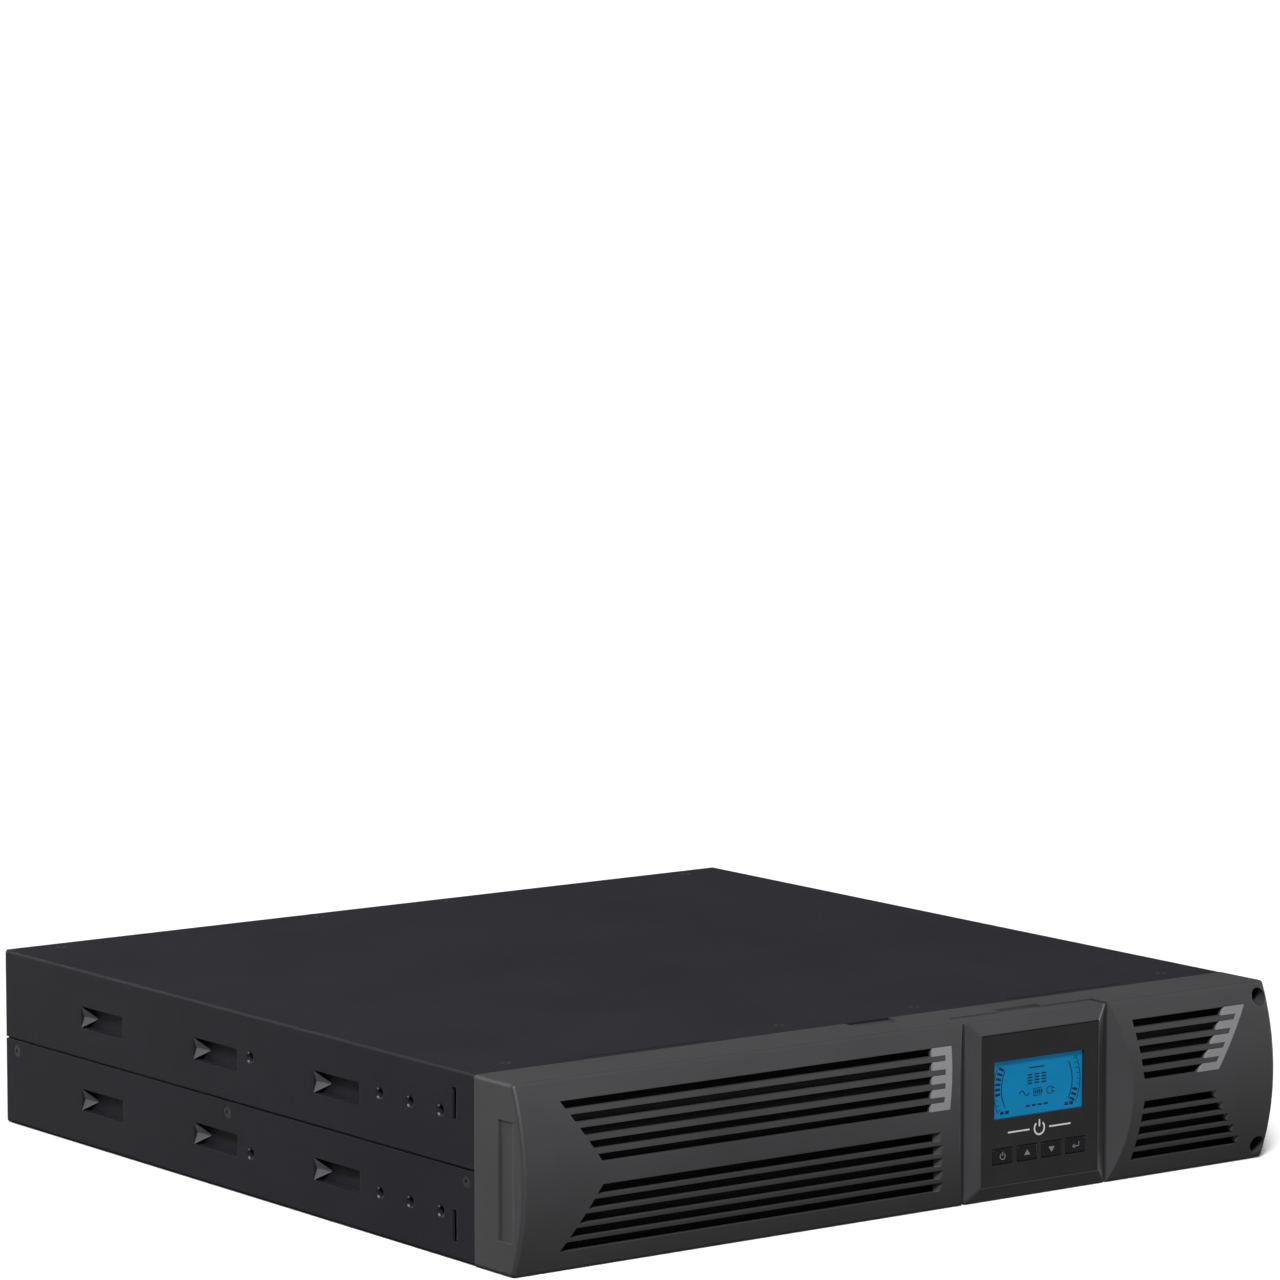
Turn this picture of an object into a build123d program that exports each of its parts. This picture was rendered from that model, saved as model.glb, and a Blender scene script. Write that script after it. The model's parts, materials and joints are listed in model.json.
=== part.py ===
"""Two-unit rack uninterruptible power supply.

A steel tray and cover hold four batteries, a transformer and the power boards.  A moulded
bezel with two louvred grilles snaps and screws on the front and carries a square display
module.  Millimetres; +X is right seen from the front, +Y runs to the rear, +Z is up.
"""
import os

from build123d import *

os.makedirs("parts", exist_ok=True)

# ---- driving dimensions ---------------------------------------------------------------
WIDTH = 440.0               # bezel
HEIGHT = 86.0
CASE_WIDTH = 438.4          # sheet-metal case
SHEET = 1.2
MID = HEIGHT / 2

FRONT_EDGE = -214.0         # plane of the bezel's top and bottom front edges
BULGE = 9.0                 # how far the front bows out at mid-height
BEZEL_DEPTH = 28.9
CASE_FRONT = FRONT_EDGE + BEZEL_DEPTH
REAR_FACE = 218.0
REAR_STANDOFF = 5.0         # what the serial port's hex posts stand out of the rear

GAP = 0.3
WALL = 2.6                  # moulded wall
BOW_RADIUS = (MID ** 2 + BULGE ** 2) / (2 * BULGE)

# display module and the bay that it sits in
MODULE_X = 77.7
MODULE = 85.0
MODULE_RISE = 3.7
MODULE_BEVEL = 6.6
MODULE_DEPTH = 10.7
BAY_GAP = 1.4
BAY_LEFT = MODULE_X - MODULE / 2 - BAY_GAP
BAY_RIGHT = MODULE_X + MODULE / 2 + BAY_GAP
BAY_BACK = FRONT_EDGE + 11.0
HOUSING = 68.0

# grille slots, measured from mid-height
SLOT_HEIGHT = 3.7
LOW_SLOT_HEIGHT = 4.2       # the lower row's slots are a little taller
SLOT_FIRST = 7.0
SLOT_PITCH = 6.15
SLOT_COUNT = 5

SEAM_Z = 42.5               # tray below, cover above
SEAM_GAP = 0.45             # half of the open seam between them
POCKET = (38.0, 10.5, 3.8)  # hook pocket: length, height, depth
POCKET_PAD = 5.2
POCKET_Y = (FRONT_EDGE + 139, FRONT_EDGE + 241, FRONT_EDGE + 342)
POCKET_Z = (22.2, 62.7)
EAR_Y = (FRONT_EDGE + 56, FRONT_EDGE + 80, FRONT_EDGE + 104, FRONT_EDGE + 211)
EAR_Z = (20.25, 65.75)
EAR_HOLE_R = 2.1
EAR_DIMPLE = (2.9, 0.5)     # rim radius and depth of the dimple round each ear hole
KEY_SLOT = (3.0, 14.2)      # narrow slot by each ear pattern
KEY_SLOT_Y = FRONT_EDGE + 45.2
KEY_SLOT_RISE = 4.8         # from the ear holes towards the nearer long edge
SEAM_SCREW_Y = (FRONT_EDGE + 36.4, FRONT_EDGE + 231, FRONT_EDGE + 422)
SEAM_SCREW_Z = 36.9
TOP_SCREW_X = (-193.0, -40.0, 40.0, 193.0)
TOP_SCREW_Y = (FRONT_EDGE + 43, REAR_FACE - 9)
SCREW_R = 1.5

SIDE = CASE_WIDTH / 2
INSIDE = SIDE - SHEET


def keep(builder, name):
    """Label a finished piece and write it out under its node name."""
    builder.part.label = name
    export_step(builder.part, f"parts/{name}.step")


def bow(offset):
    """Profile of the bowed front in YZ, moved outward by offset, closed far behind."""
    reach = BOW_RADIUS + offset
    centre = FRONT_EDGE - BULGE + BOW_RADIUS
    half = MID + 6
    edge = centre - (reach ** 2 - half ** 2) ** 0.5
    with BuildSketch(Plane.YZ.offset(-WIDTH / 2 - 10)) as profile:
        with BuildLine():
            ThreePointArc((edge, MID - half), (centre - reach, MID), (edge, MID + half))
            Line((edge, MID + half), (CASE_FRONT + 40, MID + half))
            Line((CASE_FRONT + 40, MID + half), (CASE_FRONT + 40, MID - half))
            Line((CASE_FRONT + 40, MID - half), (edge, MID - half))
        make_face()
    return extrude(profile.sketch, WIDTH + 20, mode=Mode.PRIVATE)


def bow_y(height):
    """Y of the bowed front at a height."""
    return FRONT_EDGE - BULGE + BOW_RADIUS - (BOW_RADIUS ** 2 - (height - MID) ** 2) ** 0.5


def prism(points, low, high):
    """Upright prism: a plan outline raised from one height to another."""
    with BuildPart(mode=Mode.PRIVATE) as solid:
        with BuildSketch(Plane.XY.offset(low)):
            with BuildLine():
                Polyline(*points, close=True)
            make_face()
        extrude(amount=high - low)
    return solid.part


def through(points, front, back):
    """Front-to-back prism: an outline in X and Z, from one depth to another."""
    with BuildPart(mode=Mode.PRIVATE) as solid:
        with BuildSketch(Plane.XZ.offset(-front)):
            with BuildLine():
                Polyline(*points, close=True)
            make_face()
        extrude(amount=front - back)
    return solid.part


def block(low, high):
    """Plain box between two corners."""
    size = [b - a for a, b in zip(low, high)]
    middle = [(a + b) / 2 for a, b in zip(low, high)]
    return Pos(*middle) * Box(*size, mode=Mode.PRIVATE)


def rod(centre, radius, length, direction="Y"):
    """Cylinder about its centre, along one axis."""
    turn = {"X": Rot(0, 90, 0), "Y": Rot(90, 0, 0), "Z": Rot(0, 0, 0)}[direction]
    return Pos(*centre) * turn * Cylinder(radius, length, mode=Mode.PRIVATE)


# ---- grille outlines -------------------------------------------------------------------
def long_left(dz):
    """Left end of the long grille's slots, by distance from mid-height."""
    return -177.5 - 0.69 * (dz - 5)


def long_right(dz):
    """Right end of the long grille's slots, which follows the bay's chamfer."""
    return 8.2 + 0.17 * (dz - 7)


def short_left(dz):
    return 137.5 - 0.13 * (dz - 5)


def short_right(dz):
    return 172.6 + 0.72 * (dz - 7)


COMB_LONG = 11.4            # silver trim beyond the long grille's slots
COMB_SHORT = 12.8
COMB_BAR = 3.7              # solid part of the trim, the rest is teeth
COMB_THICK = 1.3


def long_right_low(dz):
    """Right end of the long grille's lower slots, which have no trim beyond them."""
    return long_right(dz) + 2.7


def short_right_low(dz):
    return short_right(dz) + 9.0




def slot_outline(left, right, dz, sign, tall):
    """Parallelogram of one slot; sign is +1 above mid-height and -1 below."""
    low = dz - tall / 2
    high = dz + tall / 2
    corners = [(left(low), low), (right(low), low), (right(high), high), (left(high), high)]
    return [(x, MID + sign * z) for x, z in corners]


def comb_outlines(right, run, grow=0.0):
    """Bar and teeth of a trim comb as outlines in X and Z."""
    low = SLOT_FIRST - SLOT_HEIGHT / 2 - grow
    high = SLOT_FIRST + SLOT_PITCH * (SLOT_COUNT - 1) + SLOT_HEIGHT / 2 + grow
    bar_start = run - COMB_BAR - grow
    bar = [(right(low) + bar_start, MID + low), (right(low) + run + grow, MID + low),
           (right(high) + run + grow, MID + high), (right(high) + bar_start, MID + high)]
    outlines = [bar]
    for n in range(SLOT_COUNT):
        low = SLOT_FIRST + n * SLOT_PITCH - SLOT_HEIGHT / 2 - grow
        high = low + SLOT_HEIGHT + 2 * grow
        root = run - COMB_BAR + 0.2
        outlines.append([(right(low) - grow, MID + low), (right(low) + root, MID + low),
                         (right(high) + root, MID + high), (right(high) - grow, MID + high)])
    return outlines


# slot ends, trim length, and scooped run-out of the lower slots
GRILLES = ((long_left, long_right, long_right_low, COMB_LONG, 3.8),
           (short_left, short_right, short_right_low, COMB_SHORT, 1.8))
SCOOP_DEPTH = 3.0
SKIN_BACK = FRONT_EDGE + 12.0    # behind the front wall everywhere in the grilles

JOINT = 0.1                      # between the bezel's two mouldings
SNAP_X = (-150, -60, 160)        # hooks on the bezel's top wall

# corner wells of the bezel's captive screws
WELL_X = 214.4
WELL_Z = (7.2, HEIGHT - 7.2)
WELL_R = 4.2
WELL_DEPTH = 10.0
WELL_FLOOR = bow_y(WELL_Z[0]) + WELL_DEPTH
BOSS_R = 5.4

# ---- front bezel -----------------------------------------------------------------------
bay_points = [(BAY_LEFT, BAY_BACK), (BAY_LEFT, FRONT_EDGE),
              (BAY_LEFT - 20, FRONT_EDGE - 20), (BAY_RIGHT + 20, FRONT_EDGE - 20),
              (BAY_RIGHT, FRONT_EDGE), (BAY_RIGHT, BAY_BACK)]
slant = WALL * 2 ** 0.5
back = CASE_FRONT - GAP
inner_x = WIDTH / 2 - WALL
cavity_points = [(-inner_x, back + 1), (-inner_x, FRONT_EDGE - 20),
                 (BAY_LEFT - slant - 20, FRONT_EDGE - 20),
                 (BAY_LEFT - WALL, FRONT_EDGE + slant - WALL), (BAY_LEFT - WALL, BAY_BACK + WALL),
                 (BAY_RIGHT + WALL, BAY_BACK + WALL), (BAY_RIGHT + WALL, FRONT_EDGE + slant - WALL),
                 (BAY_RIGHT + slant + 20, FRONT_EDGE - 20), (inner_x, FRONT_EDGE - 20),
                 (inner_x, back + 1)]

with BuildPart() as moulding:
    with BuildSketch(Plane.YZ.offset(-WIDTH / 2)):
        with BuildLine():
            ThreePointArc((FRONT_EDGE, 0), (FRONT_EDGE - BULGE, MID), (FRONT_EDGE, HEIGHT))
            Polyline((FRONT_EDGE, HEIGHT), (back, HEIGHT), (back, 0), (FRONT_EDGE, 0))
        make_face()
    extrude(amount=WIDTH)
    front_rims = moulding.edges().filter_by(Axis.X).group_by(Axis.Y)[0]
    fillet(front_rims, 2.2)
    front_corners = moulding.edges().filter_by(GeomType.CIRCLE).group_by(Axis.X)
    fillet([e for e in front_corners[0] + front_corners[-1] if e.length > 60], 1.8)
    add(prism(bay_points, -1, HEIGHT + 1), mode=Mode.SUBTRACT)
    add(prism(cavity_points, WALL, HEIGHT - WALL) & bow(-WALL), mode=Mode.SUBTRACT)
    # opening for the display's rear housing
    with Locations((MODULE_X, BAY_BACK, MID)):
        Box(HOUSING + 2, 20, HOUSING + 2, mode=Mode.SUBTRACT)
    # louvres
    for left, right, right_low, run, scoop in GRILLES:
        for n in range(SLOT_COUNT):
            dz = SLOT_FIRST + n * SLOT_PITCH
            for sign, end, tall in ((1, right, SLOT_HEIGHT), (-1, right_low, LOW_SLOT_HEIGHT)):
                outline = slot_outline(left, end, dz, sign, tall)
                add(through(outline, FRONT_EDGE - 20, SKIN_BACK), mode=Mode.SUBTRACT)
            skin = bow_y(MID - dz)
            start = right_low(dz) - 0.5
            with BuildSketch(Plane.XY.offset(MID - dz - LOW_SLOT_HEIGHT / 2)):
                with BuildLine():
                    Polyline((start, skin - SCOOP_DEPTH), (start + scoop, skin - SCOOP_DEPTH),
                             (start + scoop, skin), (start, skin + SCOOP_DEPTH), close=True)
                make_face()
            extrude(amount=LOW_SLOT_HEIGHT, mode=Mode.SUBTRACT)
        # seat of the silver comb
        seat = bow(2) - bow(-COMB_THICK - 0.1)
        for outline in comb_outlines(right, run, 0.1):
            add(through(outline, FRONT_EDGE - 20, SKIN_BACK) & seat, mode=Mode.SUBTRACT)
    # screw bosses and wells
    for z in WELL_Z:
        add(rod((WELL_X, (WELL_FLOOR + 2 + FRONT_EDGE - 1) / 2, z), BOSS_R,
                WELL_FLOOR + 2 - FRONT_EDGE + 1))
    for z in WELL_Z:
        add(rod((WELL_X, WELL_FLOOR - 15, z), WELL_R, 30), mode=Mode.SUBTRACT)
        add(rod((WELL_X, WELL_FLOOR, z), 2.3, 10), mode=Mode.SUBTRACT)
    # shallow panel on each end face
    for side in (-1, 1):
        with Locations((side * WIDTH / 2, FRONT_EDGE + 5, MID - 1)):
            Box(1.2, 11, 54, mode=Mode.SUBTRACT)
    # trapezoid latch recess in the top rear edge, and the finger notch over the display
    latch = [(-13, back + 1), (-13, back - 5), (-8, back - 11), (8, back - 11),
             (13, back - 5), (13, back + 1)]
    add(prism(latch, HEIGHT - 1.0, HEIGHT + 1), mode=Mode.SUBTRACT)
    with Locations((MODULE_X, BAY_BACK + 1.5, HEIGHT)):
        Box(26, 7, 2.4, mode=Mode.SUBTRACT)
    # snap hooks that reach through the case front
    for x in SNAP_X:
        add(block((x - 6, CASE_FRONT - 3, HEIGHT - WALL - 2.2),
                  (x + 6, CASE_FRONT + 6, HEIGHT - WALL - 0.6)))
        add(block((x - 6, CASE_FRONT - 8, HEIGHT - WALL - 2.2),
                  (x + 6, CASE_FRONT - 3, HEIGHT - WALL + 0.2)))

# the short grille's end is a moulding of its own, which meets the rest behind the display
for name, low_x, high_x in (("front_bezel", -WIDTH / 2 - 1, BAY_RIGHT - JOINT / 2),
                            ("bezel_end", BAY_RIGHT + JOINT / 2, WIDTH / 2 + 1)):
    with BuildPart() as half:
        add(moulding.part & block((low_x, FRONT_EDGE - 20, -1), (high_x, CASE_FRONT + 10, HEIGHT + 1)))
    keep(half, name)

for name, left, right, run in (("grille_trim_long", long_left, long_right, COMB_LONG),
                               ("grille_trim_short", short_left, short_right, COMB_SHORT)):
    layer = bow(0.08) - bow(-COMB_THICK)
    with BuildPart() as trim:
        for outline in comb_outlines(right, run):
            add(through(outline, FRONT_EDGE - 20, SKIN_BACK) & layer)
    keep(trim, name)

# dust filters behind the louvres
FILTER_Y = FRONT_EDGE + 2.5
for name, x_low, x_high in (("dust_filter_long", -208, 20), ("dust_filter_short", 133, 204)):
    with BuildPart() as dust_filter:
        add(block((x_low, FILTER_Y, 2.8), (x_high, FILTER_Y + 3, HEIGHT - 2.8)))
        with Locations(((x_low + x_high) / 2, FILTER_Y, MID)):
            Box(x_high - x_low - 6, 2, HEIGHT - 12, mode=Mode.SUBTRACT)
    keep(dust_filter, name)

SCREW_TIP = CASE_FRONT + 6
with BuildPart() as bezel_screws:
    for z in WELL_Z:
        head_y = WELL_FLOOR - 1.4
        add(rod((WELL_X, head_y, z), 3.6, 2.6))
        add(rod((WELL_X, (WELL_FLOOR + SCREW_TIP) / 2, z), 1.9, SCREW_TIP - WELL_FLOOR + 0.2))
        with Locations(Location((WELL_X, head_y - 1, z), (90, 0, 0))):
            Box(5, 0.8, 1.6, mode=Mode.SUBTRACT)
            Box(0.8, 5, 1.6, mode=Mode.SUBTRACT)
keep(bezel_screws, "bezel_screws")

# ---- display module ---------------------------------------------------------------------
MODULE_TOP = MID + MODULE / 2
MODULE_FRONT = FRONT_EDGE - MODULE_RISE
LENS = MODULE - 2 * MODULE_BEVEL
LENS_FACE = MODULE_FRONT + 0.4
LENS_THICK = 1.8
WINDOW = (54.6, 27.0)
WINDOW_Z = MODULE_TOP - 20 - WINDOW[1] / 2
KEY = (11.6, 7.0)
KEY_PITCH = 14.8
KEY_Z = MODULE_TOP - 64.5
KEY_X = [MODULE_X + KEY_PITCH * (n - 1.5) for n in range(4)]
KEY_GAP = 0.35
KEY_TRAVEL = 0.8

with BuildPart() as display_frame:
    with BuildSketch(Plane.XZ.offset(-FRONT_EDGE)):
        with Locations((MODULE_X, MID)):
            RectangleRounded(MODULE, MODULE, 1.2)
    extrude(amount=-MODULE_DEPTH)
    with BuildSketch(Plane.XZ.offset(-FRONT_EDGE)):
        with Locations((MODULE_X, MID)):
            RectangleRounded(MODULE, MODULE, 1.2)
    with BuildSketch(Plane.XZ.offset(-MODULE_FRONT)):
        with Locations((MODULE_X, MID)):
            RectangleRounded(LENS, LENS, 1.0)
    loft()
    # stepped pocket for the lens, then the open back
    with Locations((MODULE_X, MODULE_FRONT, MID)):
        Box(LENS - 0.6, 2 * (0.4 + LENS_THICK + 0.1), LENS - 0.6, mode=Mode.SUBTRACT)
    with Locations((MODULE_X, FRONT_EDGE + 4, MID)):
        Box(LENS - 6, 30, LENS - 6, mode=Mode.SUBTRACT)
    with Locations((MODULE_X, FRONT_EDGE + 8.5, MID)):
        Box(MODULE - 5, 10, MODULE - 5, mode=Mode.SUBTRACT)
keep(display_frame, "display_frame")

with BuildPart() as display_lens:
    with Locations((MODULE_X, LENS_FACE + LENS_THICK / 2, MID)):
        Box(LENS - 0.8, LENS_THICK, LENS - 0.8)
    with Locations((MODULE_X, LENS_FACE, WINDOW_Z)):
        Box(WINDOW[0], 10, WINDOW[1], mode=Mode.SUBTRACT)
    for x in KEY_X:
        with Locations((x, LENS_FACE, KEY_Z)):
            Box(KEY[0] + 2 * KEY_GAP, 10, KEY[1] + 2 * KEY_GAP, mode=Mode.SUBTRACT)
keep(display_lens, "display_lens")

with BuildPart() as lcd_window:
    with Locations((MODULE_X, LENS_FACE + 0.15 + 0.6, WINDOW_Z)):
        Box(WINDOW[0] - 0.1, 1.2, WINDOW[1] - 0.1)
keep(lcd_window, "lcd_window")

LCD_FACE = LENS_FACE + LENS_THICK + 0.2
with BuildPart() as lcd_panel:
    with Locations((MODULE_X, LCD_FACE + 1.5, WINDOW_Z)):
        Box(WINDOW[0] + 5, 3, WINDOW[1] + 5)
keep(lcd_panel, "lcd_panel")

BOARD_Y = LCD_FACE + 6
with BuildPart() as display_board:
    with Locations((MODULE_X, BOARD_Y + 0.8, MID)):
        Box(LENS - 7, 1.6, LENS - 7)
    with Locations((MODULE_X, LCD_FACE + 3.1 + (BOARD_Y - LCD_FACE - 3.1) / 2, WINDOW_Z)):
        Box(WINDOW[0], BOARD_Y - LCD_FACE - 3.1, WINDOW[1])
    for x in KEY_X:
        with Locations((x, BOARD_Y - 0.9, KEY_Z)):
            Box(6, 1.8, 5)
    with Locations((MODULE_X, BOARD_Y + 4, MID + 12)):
        Box(24, 5, 6)
    with Locations((MODULE_X - 10, BOARD_Y + 2.2, MID - 10)):
        Box(12, 1.6, 12)
keep(display_board, "display_board")

with BuildPart() as display_housing:
    housing_front = FRONT_EDGE + MODULE_DEPTH - 4
    housing_back = BAY_BACK + 9
    with Locations((MODULE_X, (housing_front + BAY_BACK) / 2 - 0.5, MID)):
        Box(MODULE - 6, BAY_BACK - housing_front - 1, MODULE - 6)
    with Locations((MODULE_X, (BAY_BACK + housing_back) / 2 - 1, MID)):
        Box(HOUSING, housing_back - BAY_BACK + 2, HOUSING)
    with Locations((MODULE_X, (housing_front + housing_back) / 2 - 2.6, MID)):
        Box(HOUSING - 4, housing_back - housing_front, HOUSING - 4, mode=Mode.SUBTRACT)
    with Locations((MODULE_X, housing_back, MID + 12)):
        Box(26, 20, 8, mode=Mode.SUBTRACT)
keep(display_housing, "display_housing")

for n, x in enumerate(KEY_X):
    with BuildPart() as key:
        front_y = LENS_FACE - 0.15
        back_y = BOARD_Y - 1.8 - 0.15 - KEY_TRAVEL
        with Locations((x, (front_y + back_y) / 2, KEY_Z)):
            Box(KEY[0], back_y - front_y, KEY[1])
        fillet(key.edges().filter_by(Axis.Y), 1.0)
        fillet(key.edges().group_by(Axis.Y)[0], 0.3)
        with Locations((x, LENS_FACE + LENS_THICK + 0.8, KEY_Z)):
            Box(KEY[0] + 1.6, 1.0, KEY[1] + 1.6)
    keep(key, f"display_key_{n + 1}")

# ---- sheet-metal case -------------------------------------------------------------------
PAD = 1.5                   # metal round each pocket
RAMP_LENGTH = 9.0           # pointed ramp at a pocket's rear end
RAMP_GROOVE = 2.0           # valley down the middle of the ramp
NUT_R = 4.0
HEAD_R = 2.8
HEAD_SINK = 0.7
LAP_LOW = 31.0              # lower edge of the cover's lap flange
DOOR = (-212.0, 3.0, -10.0, 76.0)       # battery door: x low, z low, x high, z high
DOOR_SCREW_X = (DOOR[0] + 3, DOOR[2] - 3)


def pocket_row(z):
    """Hook pockets with a pointed run-out ramp, along both case sides."""
    length, height, depth = POCKET
    for side in (-1, 1):
        skin = side * SIDE
        floor = side * (SIDE - depth)
        for y in POCKET_Y:
            with Locations((side * (SIDE - POCKET_PAD / 2), y, z)):
                Box(POCKET_PAD, length + 2 * PAD, height + 2 * PAD)
            with Locations((side * (SIDE - depth / 2 + 0.5), y, z)):
                Box(depth + 1, length, height, mode=Mode.SUBTRACT)
            rear = y + length / 2
            with BuildPart(mode=Mode.PRIVATE) as ramp:
                for end, face, half, groove in ((rear, skin, height / 2, RAMP_GROOVE),
                                                (rear - RAMP_LENGTH, floor, 0.4, 0.05)):
                    with BuildSketch(Plane.XZ.offset(-end)):
                        with BuildLine():
                            Polyline((face, z - half), (face - side * groove, z), (face, z + half),
                                     (floor - side, z + half), (floor - side, z - half), close=True)
                        make_face()
                loft(ruled=True)
            add(ramp.part)


def ear_holes(z):
    """Threaded rack-ear holes with their clinch nuts, and the narrow keying slot."""
    rim, depth = EAR_DIMPLE
    for side in (-1, 1):
        for y in EAR_Y:
            add(rod((side * (INSIDE - 1), y, z), NUT_R, 2.2, "X"))
            add(rod((side * SIDE, y, z), EAR_HOLE_R, 12, "X"), mode=Mode.SUBTRACT)
            dimple = Cone(EAR_HOLE_R, rim, depth, mode=Mode.PRIVATE)
            add(Pos(side * (SIDE - depth / 2), y, z) * Rot(0, side * 90, 0) * dimple,
                mode=Mode.SUBTRACT)
        sign = 1 if z > MID else -1
        with Locations((side * SIDE, KEY_SLOT_Y, z + sign * KEY_SLOT_RISE)):
            Box(6, KEY_SLOT[0], KEY_SLOT[1], mode=Mode.SUBTRACT)


def seam_holes(radius, sink):
    """Holes of the side screws that tie the cover to the tray."""
    for side in (-1, 1):
        for y in SEAM_SCREW_Y:
            add(rod((side * SIDE, y, SEAM_SCREW_Z), radius, 8, "X"), mode=Mode.SUBTRACT)
            if sink:
                add(rod((side * SIDE, y, SEAM_SCREW_Z), HEAD_R + 0.1, 2 * HEAD_SINK, "X"),
                    mode=Mode.SUBTRACT)


with BuildPart() as chassis_tray:
    add(block((-SIDE, CASE_FRONT, 0), (SIDE, REAR_FACE, SEAM_Z - SEAM_GAP)))
    fillet(chassis_tray.edges().filter_by(Axis.Y).group_by(Axis.Z)[0], 1.6)
    add(block((-INSIDE, CASE_FRONT - 1, SHEET), (INSIDE, REAR_FACE + 1, HEIGHT)),
        mode=Mode.SUBTRACT)
    pocket_row(POCKET_Z[0])
    ear_holes(EAR_Z[0])
    seam_holes(SCREW_R + 0.1, True)
    # drawn ribs that stiffen the floor
    for x in (-150, -75, 75, 150):
        with Locations((x, 10, SHEET)):
            Box(8, 300, 1.0)
keep(chassis_tray, "chassis_tray")

TOP_FLANGE_Z = HEIGHT - SHEET
with BuildPart() as top_cover:
    add(block((-SIDE, CASE_FRONT, SEAM_Z + SEAM_GAP), (SIDE, REAR_FACE, HEIGHT)))
    fillet(top_cover.edges().filter_by(Axis.Y).group_by(Axis.Z)[-1], 1.6)
    add(block((-INSIDE, CASE_FRONT - 1, 0), (INSIDE, REAR_FACE + 1, TOP_FLANGE_Z)),
        mode=Mode.SUBTRACT)
    # joggled lap flange behind the tray wall
    for side in (-1, 1):
        outer = side * (INSIDE - 0.1)
        for low, wide in ((LAP_LOW, 0.0), (SEAM_Z + SEAM_GAP, 0.6)):
            high = SEAM_Z + SEAM_GAP + 1.4
            with Locations((outer - side * (SHEET - wide) / 2, (CASE_FRONT + REAR_FACE) / 2,
                            (low + high) / 2)):
                Box(SHEET + wide, REAR_FACE - CASE_FRONT, high - low)
    pocket_row(POCKET_Z[1])
    ear_holes(EAR_Z[1])
    seam_holes(SCREW_R - 0.1, False)
    for x in TOP_SCREW_X:
        for y in TOP_SCREW_Y:
            add(rod((x, y, HEIGHT), SCREW_R + 0.1, 6, "Z"), mode=Mode.SUBTRACT)
            add(rod((x, y, HEIGHT), HEAD_R + 0.1, 2 * HEAD_SINK, "Z"), mode=Mode.SUBTRACT)
    # long narrow lance behind the bezel, one each side
    for side in (-1, 1):
        with Locations((side * 122.5, FRONT_EDGE + 33, HEIGHT)):
            Box(70, 1.6, 4, mode=Mode.SUBTRACT)
keep(top_cover, "top_cover")

with BuildPart() as cover_screws:
    for side in (-1, 1):
        for y in SEAM_SCREW_Y:
            add(rod((side * (SIDE - 0.35), y, SEAM_SCREW_Z), HEAD_R, 0.6, "X"))
            add(rod((side * (SIDE - 2.6), y, SEAM_SCREW_Z), SCREW_R - 0.1, 4.2, "X"))
            add(rod((side * SIDE, y, SEAM_SCREW_Z), 0.9, 0.9, "X"), mode=Mode.SUBTRACT)
    for x in TOP_SCREW_X:
        for y in TOP_SCREW_Y:
            add(rod((x, y, HEIGHT - 0.35), HEAD_R, 0.6, "Z"))
            add(rod((x, y, HEIGHT - 2.6), SCREW_R - 0.1, 4.2, "Z"))
            add(rod((x, y, HEIGHT), 0.9, 0.9, "Z"), mode=Mode.SUBTRACT)
    # the battery door's two slotted screws
    for x in DOOR_SCREW_X:
        add(rod((x, CASE_FRONT - 2.4, MID), 3.4, 2.2))
        add(rod((x, CASE_FRONT + 1.6, MID), 1.5, 6.2))
        with Locations((x, CASE_FRONT - 3.5, MID)):
            Box(5, 1.6, 0.9, mode=Mode.SUBTRACT)
keep(cover_screws, "cover_screws")

# ---- inner front panel and battery door --------------------------------------------------
with BuildPart() as front_panel:
    add(block((-INSIDE + 1.6, CASE_FRONT, SHEET + 0.2),
              (INSIDE - 1.6, CASE_FRONT + SHEET, TOP_FLANGE_Z - 0.1)))
    # top flange that takes the cover screws
    add(block((-INSIDE + 1.6, CASE_FRONT, TOP_FLANGE_Z - 1.3),
              (INSIDE - 1.6, CASE_FRONT + 22, TOP_FLANGE_Z - 0.1)))
    for x in TOP_SCREW_X:
        add(rod((x, TOP_SCREW_Y[0], HEIGHT), SCREW_R, 12, "Z"), mode=Mode.SUBTRACT)
    add(block((DOOR[0] + 6, CASE_FRONT - 1, DOOR[1] + 4),
              (DOOR[2] - 6, CASE_FRONT + 2, DOOR[3] - 8)), mode=Mode.SUBTRACT)
    # air slots behind the grilles
    for x in [20 + 9 * n for n in range(4)] + [112 + 9 * n for n in range(10)]:
        for z in (27, 59):
            with Locations((x, CASE_FRONT, z)):
                Box(3, 8, 24, mode=Mode.SUBTRACT)
    for z in WELL_Z:
        add(rod((WELL_X, CASE_FRONT, z), 2.3, 10), mode=Mode.SUBTRACT)
    for x in SNAP_X:
        with Locations((x, CASE_FRONT, HEIGHT - WALL - 1.5)):
            Box(14, 8, 3.6, mode=Mode.SUBTRACT)
    for x in DOOR_SCREW_X:
        add(rod((x, CASE_FRONT, MID), 1.6, 8), mode=Mode.SUBTRACT)
    with Locations((MODULE_X, CASE_FRONT, MID + 12)):
        Box(24, 8, 8, mode=Mode.SUBTRACT)
keep(front_panel, "front_panel")

with BuildPart() as battery_door:
    add(block((DOOR[0], CASE_FRONT - SHEET - 0.1, DOOR[1]), (DOOR[2], CASE_FRONT - 0.1, DOOR[3])))
    for x in range(-190, -30, 14):
        for z in (24, 54):
            with Locations((x, CASE_FRONT, z)):
                Box(3.2, 8, 22, mode=Mode.SUBTRACT)
    for x in DOOR_SCREW_X:
        add(rod((x, CASE_FRONT, MID), 1.8, 8), mode=Mode.SUBTRACT)
keep(battery_door, "battery_door")

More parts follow.
